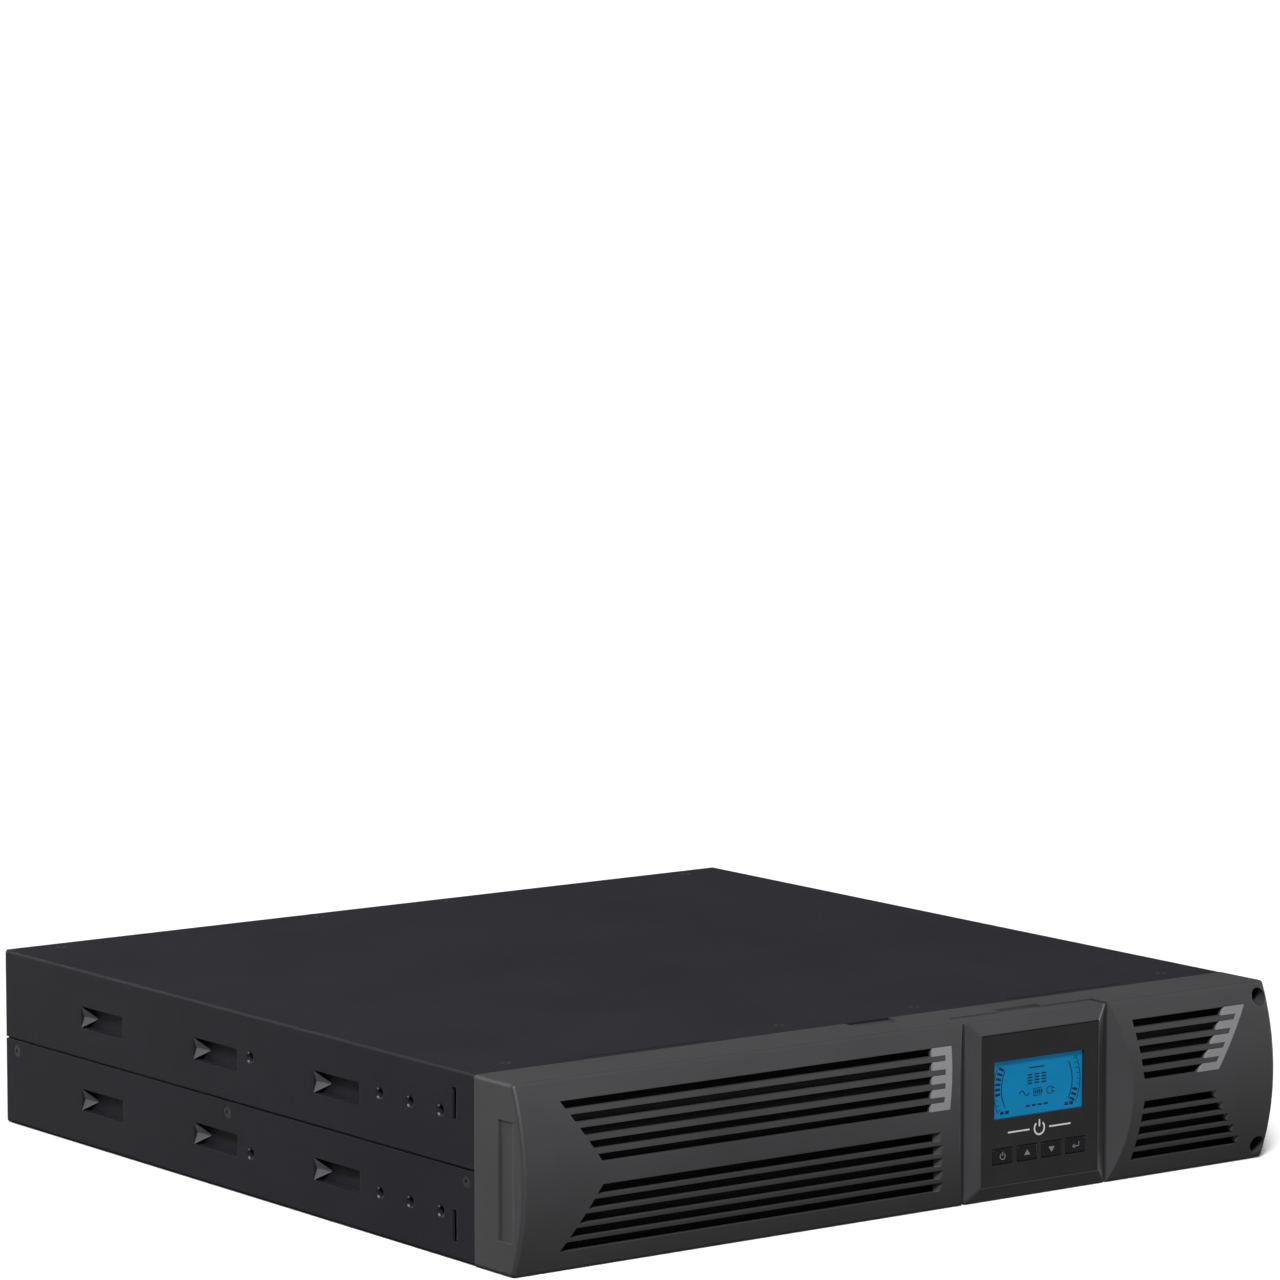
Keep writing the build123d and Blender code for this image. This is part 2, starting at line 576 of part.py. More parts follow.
# ---- batteries ---------------------------------------------------------------------------
BATTERY = (98.0, 151.0, 65.0)
BATTERY_FRONT = CASE_FRONT + 8
BATTERY_X = (-161.0, -61.5)
BATTERY_Y = (BATTERY_FRONT + BATTERY[1] / 2, BATTERY_FRONT + 1.5 * BATTERY[1] + 2)
TRAY_Z = SHEET + 1.2
low_x = BATTERY_X[0] - BATTERY[0] / 2 - 0.4
high_x = BATTERY_X[1] + BATTERY[0] / 2 + 0.4
rear_y = BATTERY_Y[1] + BATTERY[1] / 2 + 0.5
with BuildPart() as battery_tray:
    add(block((low_x - 1, BATTERY_FRONT - 1.5, TRAY_Z), (high_x + 1, rear_y + 1, TRAY_Z + 26)))
    add(block((low_x, BATTERY_FRONT - 0.5, TRAY_Z + 1), (high_x, rear_y, TRAY_Z + 40)),
        mode=Mode.SUBTRACT)
    with Locations(((low_x + high_x) / 2, BATTERY_FRONT - 1, TRAY_Z + 16)):
        Box(70, 6, 10, mode=Mode.SUBTRACT)
keep(battery_tray, "battery_tray")

number = 0
for y in BATTERY_Y:
    for x in BATTERY_X:
        number += 1
        with BuildPart() as battery:
            with Locations((x, y, TRAY_Z + 1.1 + BATTERY[2] / 2)):
                Box(*BATTERY)
            fillet(battery.edges().filter_by(Axis.Z), 2)
            for side in (-1, 1):
                with Locations((x + side * 34, y + BATTERY[1] / 2 - 12, TRAY_Z + 1.1 + BATTERY[2])):
                    Box(14, 14, 2.4)
                    Box(0.8, 6.3, 12)
        keep(battery, f"battery_{number}")

STRAP_Z = TRAY_Z + 1.2 + BATTERY[2]
with BuildPart() as battery_straps:
    for y in BATTERY_Y:
        for x in (low_x - 2.3, high_x + 1.1):
            add(block((x, y - 30, TRAY_Z + 12), (x + 1.2, y - 12, STRAP_Z + 1.2)))
        add(block((low_x - 2.3, y - 30, STRAP_Z), (high_x + 2.3, y - 12, STRAP_Z + 1.2)))
keep(battery_straps, "battery_straps")

LINK_Z = TRAY_Z + 1.1 + BATTERY[2] + 6
with BuildPart() as battery_links:
    for y in BATTERY_Y:
        add(block((BATTERY_X[0] + 34 + 0.5, y + BATTERY[1] / 2 - 15, LINK_Z - 2),
                  (BATTERY_X[1] - 34 - 0.5, y + BATTERY[1] / 2 - 9, LINK_Z - 0.5)))
keep(battery_links, "battery_links")

DIVIDER_X = -7.0
with BuildPart() as bay_divider:
    add(block((DIVIDER_X, CASE_FRONT + 3, SHEET + 1.1), (DIVIDER_X + 1, 150, TOP_FLANGE_Z - 1.5)))
    add(block((DIVIDER_X, CASE_FRONT + 3, SHEET + 1.1), (DIVIDER_X + 12, 150, SHEET + 2.1)))
    with Locations((DIVIDER_X, 120, MID)):
        Box(6, 30, 20, mode=Mode.SUBTRACT)
keep(bay_divider, "bay_divider")

# ---- transformer and power boards ---------------------------------------------------------
FLOOR = SHEET + 1.1
TX = (104.0, -128.0)
CORE = (108.0, 62.0, 72.0)
with BuildPart() as transformer_core:
    with Locations((TX[0], TX[1], FLOOR + 2 + CORE[2] / 2)):
        Box(*CORE)
        for side in (-1, 1):
            with Locations((side * 27, 0, 0)):
                Box(18, 70, 36, mode=Mode.SUBTRACT)
    fillet(transformer_core.edges().filter_by(Axis.Y).group_by(Axis.Z)[-1], 2)
keep(transformer_core, "transformer_core")

with BuildPart() as transformer_winding:
    with Locations((TX[0], TX[1], FLOOR + 2 + CORE[2] / 2)):
        Box(70, 96, 34)
    fillet(transformer_winding.edges().filter_by(Axis.X), 6)
    with Locations((TX[0], TX[1], FLOOR + 2 + CORE[2] / 2)):
        Box(37, CORE[1] + 0.4, 40, mode=Mode.SUBTRACT)
keep(transformer_winding, "transformer_winding")

with BuildPart() as transformer_bracket:
    add(block((TX[0] - 70, TX[1] - 20, FLOOR), (TX[0] + 70, TX[1] + 20, FLOOR + 1.8)))
    for side in (-1, 1):
        add(block(*[(TX[0] + side * 54.3 + low, TX[1] + y, z) for low, y, z in
                    ((min(0, side * 1.6), -20, FLOOR), (max(0, side * 1.6), 20, FLOOR + 60))]))
        add(rod((TX[0] + side * 63, TX[1], FLOOR), 2.6, 8, "Z"), mode=Mode.SUBTRACT)
keep(transformer_bracket, "transformer_bracket")

BOARD_LOW = (6.0, -40.0)
BOARD_HIGH = (212.0, 184.0)
BOARD_Z = FLOOR + 6
post_points = [(x, y) for x in (12, 206) for y in (-34, 72, 178)]
with BuildPart() as power_board:
    add(block((BOARD_LOW[0], BOARD_LOW[1], BOARD_Z), (BOARD_HIGH[0], BOARD_HIGH[1], BOARD_Z + 1.6)))
    for x, y in post_points:
        add(rod((x, y, BOARD_Z), 1.6, 8, "Z"), mode=Mode.SUBTRACT)
keep(power_board, "power_board")

with BuildPart() as board_posts:
    for x, y in post_points:
        add(rod((x, y, FLOOR + 2.95), 3, 5.9, "Z"))
        add(rod((x, y, BOARD_Z + 2.9), 2.8, 2, "Z"))
        add(rod((x, y, BOARD_Z + 1), 1.5, 4, "Z"))
keep(board_posts, "board_posts")

PARTS_Z = BOARD_Z + 1.7
SINK = (34.0, 120.0, 46.0)
for number, x in enumerate((40.0, 178.0)):
    with BuildPart() as heat_sink:
        with Locations((x, 20, PARTS_Z + SINK[2] / 2)):
            Box(4, SINK[1], SINK[2])
        for n in range(8):
            with Locations((x, 20, PARTS_Z + 3 + n * 5.7)):
                Box(SINK[0], SINK[1], 1.4)
    keep(heat_sink, f"heat_sink_{number + 1}")

with BuildPart() as capacitors:
    for x in (80, 116):
        for y in (-14, 24, 62):
            add(rod((x, y, PARTS_Z + 22), 15, 44, "Z"))
    fillet(capacitors.edges().filter_by(GeomType.CIRCLE).group_by(Axis.Z)[-1], 1.5)
keep(capacitors, "capacitors")

with BuildPart() as chokes:
    for x in (36, 78, 120, 162):
        add(rod((x, 116, PARTS_Z + 18), 17.5, 16))
        add(rod((x, 116, PARTS_Z + 18), 7.5, 20), mode=Mode.SUBTRACT)
    fillet(chokes.edges().filter_by(GeomType.CIRCLE), 3)
keep(chokes, "chokes")

with BuildPart() as relays:
    for x in (30, 62, 94):
        with Locations((x, 158, PARTS_Z + 8.5)):
            Box(28, 13, 17)
    fillet(relays.edges().filter_by(Axis.Z), 1)
keep(relays, "relays")

with BuildPart() as control_board:
    add(block((148, -20, PARTS_Z), (149.6, 80, PARTS_Z + 58)))
    for y, z, wide, high in ((0, 20, 14, 14), (30, 36, 20, 20), (60, 16, 10, 22)):
        add(block((145.4, y, PARTS_Z + z), (148, y + wide, PARTS_Z + z + high)))
keep(control_board, "control_board")

# ---- fans ---------------------------------------------------------------------------------
FAN = 60.0
FAN_DEPTH = 25.0
FAN_X = (176.0, 112.0)
FAN_Z = MID
FAN_REAR = REAR_FACE - SHEET - 0.1
FAN_MID = FAN_REAR - FAN_DEPTH / 2
FAN_BORE = 28.6
HUB_R = 12.6
SHAFT_R = 1.5
BLADES = 7
fan_holes = [(sx * 25, sz * 25) for sx in (-1, 1) for sz in (-1, 1)]
for number, x in enumerate(FAN_X):
    with BuildPart() as fan_frame:
        with Locations((x, FAN_MID, FAN_Z)):
            Box(FAN, FAN_DEPTH, FAN)
        fillet(fan_frame.edges().filter_by(Axis.Y), 3)
        add(rod((x, FAN_MID, FAN_Z), FAN_BORE, 40), mode=Mode.SUBTRACT)
        # motor seat on four struts at the rear
        add(rod((x, FAN_REAR - 1.5, FAN_Z), HUB_R, 3))
        for turn in (45, 135):
            strut = Box(2 * FAN_BORE + 1, 2.4, 3.4, mode=Mode.PRIVATE)
            add(Pos(x, FAN_REAR - 1.2, FAN_Z) * Rot(0, turn, 0) * strut)
        add(rod((x, FAN_REAR - 2, FAN_Z), SHAFT_R + 0.06, 10), mode=Mode.SUBTRACT)
        for dx, dz in fan_holes:
            add(rod((x + dx, FAN_MID, FAN_Z + dz), 2.1, 40), mode=Mode.SUBTRACT)
    keep(fan_frame, f"fan_frame_{number + 1}")

    with BuildPart() as fan_rotor:
        hub_rear = FAN_REAR - 3.5
        hub_front = FAN_REAR - FAN_DEPTH + 2
        add(rod((x, (hub_rear + hub_front) / 2, FAN_Z), HUB_R, hub_rear - hub_front))
        for n in range(BLADES):
            blade = Pos(HUB_R + 6.6, 0, 0) * Rot(38, 0, 0) * Box(17, 1.3, 17, mode=Mode.PRIVATE)
            add(Pos(x, (hub_rear + hub_front) / 2, FAN_Z) * Rot(0, n * 360 / BLADES, 0) * blade)
        add(rod((x, (hub_rear + hub_front) / 2, FAN_Z), FAN_BORE - 0.8, 19), mode=Mode.INTERSECT)
        add(rod((x, FAN_REAR - 3, FAN_Z), SHAFT_R, 4))
    keep(fan_rotor, f"fan_rotor_{number + 1}")

# ---- rear panel and its sockets --------------------------------------------------------------
OUTLET_X = (-150.0, -112.0, -74.0, -36.0)
OUTLET_Z = (27.0, 59.0)
OUTLET_BODY = (34.0, 26.0)
OUTLET_FLANGE = (37.0, 29.0)
OUTLET_WELL = (31.2, 23.7)
OUTLET_CORE = (23.4, 15.9)
OUTLET_DEPTH = 17.0
CORE_SINK = 4.8
FLANGE = 1.5
INLET = (-192.0, 27.0)
INLET_BODY = (30.0, 22.0)
INLET_WELL = (24.6, 16.9)
BREAKER = (-192.0, 60.0)
SLOT_BAY = (38.0, 60.0)
USB = (8.0, 21.0)
SERIAL = (38.0, 21.0)
JACK_X = 66.5
GROUND = (-207.0, 46.0)
PIN_PLACES = ((-7, -1.5), (7, -1.5), (0, 2.5))
outlet_places = [(x, z) for z in OUTLET_Z for x in OUTLET_X]


def socket_outline(x, z, width, height, cut=4.0):
    """Mains socket outline: a rectangle with its two upper corners cut off."""
    w, h = width / 2, height / 2
    corners = [(-w, -h), (w, -h), (w, h - cut), (w - cut, h), (-w + cut, h), (-w, h - cut)]
    return [(x + dx, z + dz) for dx, dz in corners]


def pane(x, z, width, height, front, back):
    """Box facing the rear, between two depths."""
    return block((x - width / 2, front, z - height / 2), (x + width / 2, back, z + height / 2))


with BuildPart() as rear_panel:
    add(block((-INSIDE + 1.6, REAR_FACE - SHEET, SHEET + 0.2),
              (INSIDE - 1.6, REAR_FACE, TOP_FLANGE_Z - 0.1)))
    add(block((-INSIDE + 1.6, REAR_FACE - 15, TOP_FLANGE_Z - 1.3),
              (INSIDE - 1.6, REAR_FACE, TOP_FLANGE_Z - 0.1)))
    for x in TOP_SCREW_X:
        add(rod((x, TOP_SCREW_Y[1], HEIGHT), SCREW_R, 12, "Z"), mode=Mode.SUBTRACT)
    for x, z in outlet_places:
        add(pane(x, z, OUTLET_BODY[0] + 0.3, OUTLET_BODY[1] + 0.3, 200, 230), mode=Mode.SUBTRACT)
    add(pane(*INLET, INLET_BODY[0] + 0.3, INLET_BODY[1] + 0.3, 200, 230), mode=Mode.SUBTRACT)
    add(rod((BREAKER[0], REAR_FACE, BREAKER[1]), 5.7, 8), mode=Mode.SUBTRACT)
    add(pane(*SLOT_BAY, 62, 28, 210, 230), mode=Mode.SUBTRACT)
    for side in (-1, 1):
        add(rod((SLOT_BAY[0] + side * 34, REAR_FACE, SLOT_BAY[1]), 1.5, 8), mode=Mode.SUBTRACT)
    add(pane(*USB, 12.3, 11.3, 210, 230), mode=Mode.SUBTRACT)
    add(pane(*SERIAL, 19, 10.6, 210, 230), mode=Mode.SUBTRACT)
    for side in (-1, 1):
        add(rod((SERIAL[0] + side * 12.5, REAR_FACE, SERIAL[1]), 1.6, 8), mode=Mode.SUBTRACT)
    add(pane(JACK_X, USB[1], 16.3, 28.3, 210, 230), mode=Mode.SUBTRACT)
    add(rod((GROUND[0], REAR_FACE, GROUND[1]), 2.1, 8), mode=Mode.SUBTRACT)
    # stamped fan grilles: rings of short arcs, each narrower than a fingertip
    for x in FAN_X:
        for ring in range(5):
            radius = 7.5 + ring * 4.7
            with BuildSketch(Plane.XZ.offset(-REAR_FACE - 2)):
                with Locations((x, FAN_Z)):
                    Circle(radius + 1.6)
                    Circle(radius - 1.6, mode=Mode.SUBTRACT)
                    for turn in (45, 135):
                        Rectangle(70, 3.4, rotation=turn, mode=Mode.SUBTRACT)
            extrude(amount=6, mode=Mode.SUBTRACT)
        for dx, dz in fan_holes:
            add(rod((x + dx, REAR_FACE, FAN_Z + dz), 1.8, 8), mode=Mode.SUBTRACT)
keep(rear_panel, "rear_panel")

with BuildPart() as outlet_shells:
    for x, z in outlet_places:
        add(pane(x, z, *OUTLET_FLANGE, REAR_FACE + 0.05, REAR_FACE + FLANGE))
        add(pane(x, z, *OUTLET_BODY, REAR_FACE - OUTLET_DEPTH - 2, REAR_FACE + FLANGE))
    fillet(outlet_shells.edges().filter_by(Axis.Y).group_by(Axis.Y)[-1], 2)
    for x, z in outlet_places:
        with BuildSketch(Plane.XZ.offset(-REAR_FACE - FLANGE)):
            with Locations((x, z)):
                Rectangle(*OUTLET_WELL)
        extrude(amount=OUTLET_DEPTH, mode=Mode.SUBTRACT)
keep(outlet_shells, "outlet_shells")

CORE_FACE = REAR_FACE + FLANGE - CORE_SINK
with BuildPart() as outlet_cores:
    for x, z in outlet_places:
        outline = socket_outline(x, z, *OUTLET_CORE)
        add(through(outline, REAR_FACE + FLANGE - OUTLET_DEPTH + 0.1, CORE_FACE))
        for dx, dz in PIN_PLACES:
            add(pane(x + dx, z + dz, 2.4, 5.2, CORE_FACE - 10, CORE_FACE + 2), mode=Mode.SUBTRACT)
keep(outlet_cores, "outlet_cores")

INLET_FLOOR = REAR_FACE + FLANGE - 18.5
with BuildPart() as mains_inlet:
    add(pane(*INLET, 34, 26, REAR_FACE + 0.05, REAR_FACE + FLANGE))
    add(pane(*INLET, *INLET_BODY, INLET_FLOOR - 4, REAR_FACE + FLANGE))
    add(through(socket_outline(*INLET, *INLET_WELL), INLET_FLOOR, REAR_FACE + FLANGE + 1),
        mode=Mode.SUBTRACT)
    for dx, dz in PIN_PLACES:
        add(pane(INLET[0] + dx, INLET[1] + dz, 2.1, 4.1, INLET_FLOOR - 6, INLET_FLOOR + 1),
            mode=Mode.SUBTRACT)
keep(mains_inlet, "mains_inlet")

with BuildPart() as inlet_pins:
    for dx, dz in PIN_PLACES:
        add(pane(INLET[0] + dx, INLET[1] + dz, 2, 4, INLET_FLOOR - 10, INLET_FLOOR + 13.5))
    fillet(inlet_pins.edges().group_by(Axis.Y)[-1], 0.6)
keep(inlet_pins, "inlet_pins")

BUTTON_R = 3.6
with BuildPart() as breaker:
    add(pane(*BREAKER, 15, 28, REAR_FACE - SHEET - 32, REAR_FACE - SHEET - 0.1))
    add(rod((BREAKER[0], REAR_FACE + 0.9, BREAKER[1]), 5.5, 4.6))
    with BuildSketch(Plane.XZ.offset(-REAR_FACE - 2.2)):
        with Locations(BREAKER):
            RegularPolygon(8.0, 6)
    extrude(amount=2.15)
    add(rod((BREAKER[0], REAR_FACE, BREAKER[1]), BUTTON_R + 0.35, 16), mode=Mode.SUBTRACT)
keep(breaker, "breaker")

with BuildPart() as breaker_button:
    add(rod((BREAKER[0], REAR_FACE + 0.6, BREAKER[1]), BUTTON_R, 8.0))
    fillet(breaker_button.edges().group_by(Axis.Y)[-1], 1.2)
keep(breaker_button, "breaker_button")

with BuildPart() as slot_cover:
    add(pane(*SLOT_BAY, 74, 34, REAR_FACE + 0.05, REAR_FACE + 1.25))
    for side in (-1, 1):
        add(rod((SLOT_BAY[0] + side * 34, REAR_FACE, SLOT_BAY[1]), 1.7, 8), mode=Mode.SUBTRACT)
    for n in range(9):
        with Locations((SLOT_BAY[0] - 24 + 6 * n, REAR_FACE, SLOT_BAY[1])):
            Box(2.4, 8, 18, mode=Mode.SUBTRACT)
keep(slot_cover, "slot_cover")

with BuildPart() as usb_port:
    add(pane(*USB, 12, 11, REAR_FACE - 16, REAR_FACE + 1))
    add(pane(*USB, 8.6, 7.9, REAR_FACE - 9, REAR_FACE + 2), mode=Mode.SUBTRACT)
    add(pane(*USB, 5.6, 2.9, REAR_FACE - 10, REAR_FACE - 3.8))
keep(usb_port, "usb_port")

with BuildPart() as serial_port:
    add(pane(*SERIAL, 31, 12.5, REAR_FACE - SHEET - 1.1, REAR_FACE - SHEET - 0.1))
    add(pane(*SERIAL, 19, 10, REAR_FACE - SHEET - 12, REAR_FACE - SHEET - 1))
    nose = [(SERIAL[0] + dx, SERIAL[1] + dz) for dx, dz in
            ((-8.4, 4.1), (8.4, 4.1), (7.2, -4.1), (-7.2, -4.1))]
    add(through(nose, REAR_FACE - SHEET - 0.5, REAR_FACE + 4.6))
    for row, count in ((1.4, 5), (-1.4, 4)):
        for n in range(count):
            place = (SERIAL[0] + 2.76 * (n - (count - 1) / 2), REAR_FACE + 3, SERIAL[1] + row)
            add(rod(place, 0.6, 6), mode=Mode.SUBTRACT)
keep(serial_port, "serial_port")

with BuildPart() as serial_posts:
    for side in (-1, 1):
        with BuildSketch(Plane.XZ.offset(-REAR_FACE - REAR_STANDOFF)):
            with Locations((SERIAL[0] + side * 12.5, SERIAL[1])):
                RegularPolygon(2.7, 6)
        extrude(amount=REAR_STANDOFF - 0.05)
        post = (SERIAL[0] + side * 12.5, REAR_FACE + REAR_STANDOFF, SERIAL[1])
        add(rod(post, 1.2, 6), mode=Mode.SUBTRACT)
keep(serial_posts, "serial_posts")

JACK_Z = (USB[1] - 7, USB[1] + 7)
with BuildPart() as network_jacks:
    add(pane(JACK_X, USB[1], 16, 28, REAR_FACE - 18, REAR_FACE + 0.8))
    for z in JACK_Z:
        add(pane(JACK_X, z, 11.9, 8.4, REAR_FACE - 12, REAR_FACE + 2), mode=Mode.SUBTRACT)
        add(pane(JACK_X, z - 4.6, 6, 2.2, REAR_FACE - 12, REAR_FACE + 2), mode=Mode.SUBTRACT)
keep(network_jacks, "network_jacks")

with BuildPart() as rear_screws:
    places = [(x + dx, FAN_Z + dz) for x in FAN_X for dx, dz in fan_holes]
    for x, z in places:
        add(rod((x, REAR_FACE + 0.65, z), 2.9, 1.2))
        add(rod((x, REAR_FACE - 4, z), 1.6, 8.5))
        with Locations((x, REAR_FACE + 1.2, z)):
            Box(3.6, 1.0, 0.8, mode=Mode.SUBTRACT)
            Box(0.8, 1.0, 3.6, mode=Mode.SUBTRACT)
    for side in (-1, 1):
        x = SLOT_BAY[0] + side * 34
        add(rod((x, REAR_FACE + 2.4, SLOT_BAY[1]), 3.4, 2.2))
        add(rod((x, REAR_FACE, SLOT_BAY[1]), 1.4, 5))
keep(rear_screws, "rear_screws")

with BuildPart() as ground_screw:
    add(rod((GROUND[0], REAR_FACE + 1.3, GROUND[1]), 4.0, 2.4))
    add(rod((GROUND[0], REAR_FACE - 3, GROUND[1]), 1.95, 8))
    with Locations((GROUND[0], REAR_FACE + 2.5, GROUND[1])):
        Box(5.4, 1.6, 1.0, mode=Mode.SUBTRACT)
        Box(1.0, 1.6, 5.4, mode=Mode.SUBTRACT)
keep(ground_screw, "ground_screw")

with BuildPart() as inlet_filter:
    add(block((INLET[0] - 22, INLET_FLOOR - 62, INLET[1] - 16),
              (INLET[0] + 22, INLET_FLOOR - 12, INLET[1] + 16)))
    fillet(inlet_filter.edges().filter_by(Axis.Y), 2)
keep(inlet_filter, "inlet_filter")
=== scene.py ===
"""Looks of a two-unit rack UPS: materials, display print, contacts, fan wheels and light."""
import json
from math import cos, pi, radians, sin

import bmesh
import bpy
from mathutils import Matrix, Vector


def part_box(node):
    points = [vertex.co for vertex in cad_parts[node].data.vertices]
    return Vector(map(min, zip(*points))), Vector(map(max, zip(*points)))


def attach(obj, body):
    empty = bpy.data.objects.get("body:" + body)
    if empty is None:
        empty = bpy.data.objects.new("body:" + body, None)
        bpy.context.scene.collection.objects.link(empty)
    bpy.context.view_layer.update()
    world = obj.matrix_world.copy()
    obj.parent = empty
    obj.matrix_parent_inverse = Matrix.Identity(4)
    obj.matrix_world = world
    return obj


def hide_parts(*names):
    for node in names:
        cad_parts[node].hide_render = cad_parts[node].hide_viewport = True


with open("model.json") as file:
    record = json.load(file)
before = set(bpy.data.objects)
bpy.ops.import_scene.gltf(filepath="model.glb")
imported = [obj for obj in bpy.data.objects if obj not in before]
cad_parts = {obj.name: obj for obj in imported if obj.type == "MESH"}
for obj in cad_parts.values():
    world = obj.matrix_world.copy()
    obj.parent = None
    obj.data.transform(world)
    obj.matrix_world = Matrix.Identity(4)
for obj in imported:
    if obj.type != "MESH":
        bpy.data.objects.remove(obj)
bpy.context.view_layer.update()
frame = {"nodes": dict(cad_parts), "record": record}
MM = 0.001
NOISE_LOW, NOISE_HIGH = 0.3, 0.7
RAMP_SLANT = (-0.10, -0.30)   # |x| * y of a normal, bounding the painted highlight: flat sheet, then a pocket's pressed ramp
CONE_SLANT = (-0.33, -0.36)   # steeper still: the dimples round the screw holes get no painted highlight


# ---- node helpers -----------------------------------------------------------------------
def new_material(name, colour, roughness=0.5, metallic=0.0, specular=0.5):
    """A Principled material with its plain values set on its own sockets."""
    material = bpy.data.materials.new(name)
    material.use_nodes = True
    shader = material.node_tree.nodes["Principled BSDF"]
    shader.inputs["Base Color"].default_value = (*colour, 1.0)
    shader.inputs["Roughness"].default_value = roughness
    shader.inputs["Metallic"].default_value = metallic
    shader.inputs["Specular IOR Level"].default_value = specular
    material.diffuse_color = (*colour, 1.0)
    return material


def add_node(material, kind, **values):
    """A new node with some of its properties and input defaults set by name."""
    node = material.node_tree.nodes.new(kind)
    for key, value in values.items():
        if hasattr(node, key):
            setattr(node, key, value)
        else:
            node.inputs[key.replace("_", " ")].default_value = value
    return node


def wire(material, source, target):
    material.node_tree.links.new(source, target)


def shader_of(material):
    return material.node_tree.nodes["Principled BSDF"]


def object_coords(material, scale=(1, 1, 1)):
    """Object coordinates in metres, stretched per axis."""
    coords = add_node(material, "ShaderNodeTexCoord")
    mapping = add_node(material, "ShaderNodeMapping")
    mapping.inputs["Scale"].default_value = scale
    wire(material, coords.outputs["Object"], mapping.inputs["Vector"])
    return mapping.outputs["Vector"]


def noise(material, scale, detail=4.0, rough=0.55, stretch=(1, 1, 1)):
    """Fine noise in metres: scale is features per metre."""
    node = add_node(material, "ShaderNodeTexNoise")
    node.inputs["Scale"].default_value = scale
    node.inputs["Detail"].default_value = detail
    node.inputs["Roughness"].default_value = rough
    wire(material, object_coords(material, stretch), node.inputs["Vector"])
    return node.outputs["Fac"]


def remap(material, value, low, high, to_low, to_high):
    """Map a value's range to another range."""
    node = add_node(material, "ShaderNodeMapRange")
    limits = {"From Min": low, "From Max": high, "To Min": to_low, "To Max": to_high}
    for name, number in limits.items():
        node.inputs[name].default_value = number
    wire(material, value, node.inputs["Value"])
    return node.outputs["Result"]


def spread(material, value, to_low=0.0, to_high=1.0):
    """Stretch a noise value, which seldom leaves its middle range, over a range of its own."""
    return remap(material, value, NOISE_LOW, NOISE_HIGH, to_low, to_high)


def vary_colour(material, value, dark, light):
    """Drive the base colour from dark to light by a value between 0 and 1."""
    ramp = add_node(material, "ShaderNodeValToRGB")
    ramp.color_ramp.elements[0].color = (*dark, 1.0)
    ramp.color_ramp.elements[1].color = (*light, 1.0)
    wire(material, value, ramp.inputs["Fac"])
    wire(material, ramp.outputs["Color"], shader_of(material).inputs["Base Color"])
    return ramp


def round_edges(material, radius):
    """Soften the look of sharp edges, as a moulding or a brake press leaves them."""
    bevel = add_node(material, "ShaderNodeBevel", samples=6)
    bevel.inputs["Radius"].default_value = radius
    return bevel.outputs["Normal"]


def bump(material, height, distance, strength=1.0, edge=None):
    """Bump from a height value; edge is an already softened normal."""
    node = add_node(material, "ShaderNodeBump")
    node.inputs["Strength"].default_value = strength
    node.inputs["Distance"].default_value = distance
    wire(material, height, node.inputs["Height"])
    if edge is not None:
        wire(material, edge, node.inputs["Normal"])
    wire(material, node.outputs["Normal"], shader_of(material).inputs["Normal"])


def link_mesh(name, mesh, material):
    """Turn a bmesh into an object of the scene with one material."""
    data = bpy.data.meshes.new(name)
    mesh.to_mesh(data)
    mesh.free()
    data.materials.append(material)
    piece = bpy.data.objects.new(name, data)
    bpy.context.scene.collection.objects.link(piece)
    return piece


# ---- materials --------------------------------------------------------------------------
def grained(name, dark, light, rough=(0.45, 0.6), grain=2600.0, depth=0.00006, edge=0.0004,
            specular=0.3, blotch=14.0):
    """Moulded or powder-coated surface: fine grain, faint blotches and softened edges."""
    material = new_material(name, light, specular=specular)
    broad = noise(material, blotch, 3.0)
    vary_colour(material, spread(material, broad), dark, light)
    fine = noise(material, grain, 5.0, 0.6)
    wire(material, spread(material, fine, *rough), shader_of(material).inputs["Roughness"])
    bump(material, fine, depth, 0.8, round_edges(material, edge))
    return material


def paint_ramp_highlight(material, highlight_colour):
    """Painted highlight: a paler colour on the pressed ramps that look forward and sideways, where
    the key light catches them.
    """
    geometry = add_node(material, "ShaderNodeNewGeometry")
    parts = add_node(material, "ShaderNodeSeparateXYZ")
    wire(material, geometry.outputs["True Normal"], parts.inputs["Vector"])
    sideways = add_node(material, "ShaderNodeMath", operation="ABSOLUTE")
    wire(material, parts.outputs["X"], sideways.inputs[0])
    both = add_node(material, "ShaderNodeMath", operation="MULTIPLY")
    wire(material, sideways.outputs[0], both.inputs[0])
    wire(material, parts.outputs["Y"], both.inputs[1])
    colour = shader_of(material).inputs["Base Color"]
    painted = colour.links[0].from_socket
    mix = add_node(material, "ShaderNodeMix", data_type="RGBA")
    ramp = add_node(material, "ShaderNodeMath", operation="MULTIPLY")
    wire(material, remap(material, both.outputs[0], *RAMP_SLANT, 0.0, 1.0), ramp.inputs[0])
    wire(material, remap(material, both.outputs[0], *CONE_SLANT, 1.0, 0.0), ramp.inputs[1])
    wire(material, ramp.outputs[0], mix.inputs["Factor"])
    wire(material, painted, mix.inputs[6])
    mix.inputs[7].default_value = (*highlight_colour, 1.0)
    wire(material, mix.outputs[2], colour)


